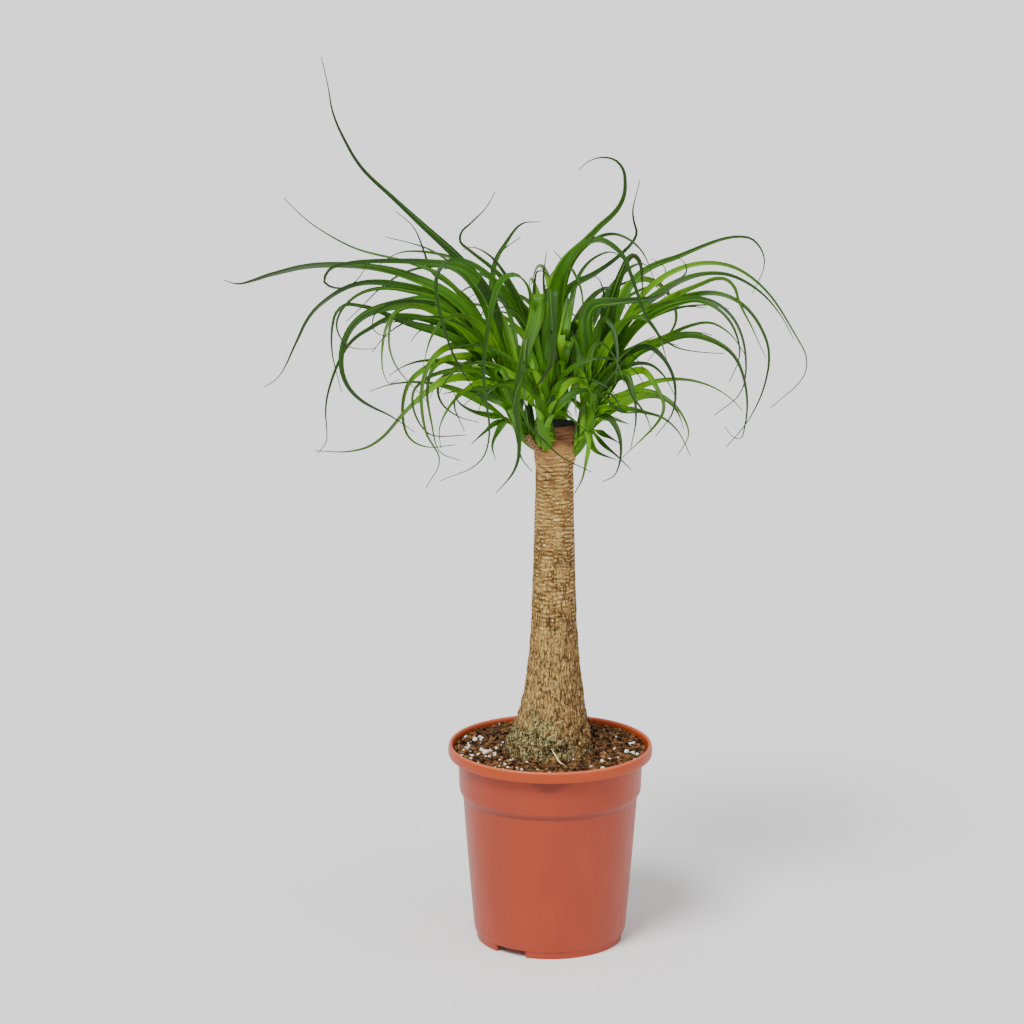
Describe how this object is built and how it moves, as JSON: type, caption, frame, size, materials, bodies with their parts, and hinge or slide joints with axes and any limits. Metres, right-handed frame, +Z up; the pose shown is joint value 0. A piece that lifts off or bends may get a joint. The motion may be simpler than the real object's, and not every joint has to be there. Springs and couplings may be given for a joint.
{
  "type": "potted ponytail palm",
  "caption": "Ponytail palm with a ringed, swollen trunk and rosettes of long arching leaves, standing in soil in a round plastic nursery pot.",
  "frame": {"origin": "middle of the pot's underside, on the face of its central foot", "axes": "+Z up along the pot's axis, -Y towards the front, +X to the right"},
  "size_m": [0.5758, 0.4346, 0.9092],
  "materials": {
    "pot_plastic": "satin moulded terracotta-coloured plastic",
    "potting_soil": "loose, damp, fibrous",
    "bark": "ringed above, corky and mossy below",
    "dry_wood": "dry and dark",
    "leaf": "satin, smooth, faintly ribbed"
  },
  "bodies": {
    "root": {"pot": "pot_plastic", "soil": "potting_soil", "trunk": "bark", "dry_stub": "dry_wood", "head_front": "leaf", "head_left": "leaf", "head_right": "leaf", "head_back": "leaf"}
  },
  "joints": []
}
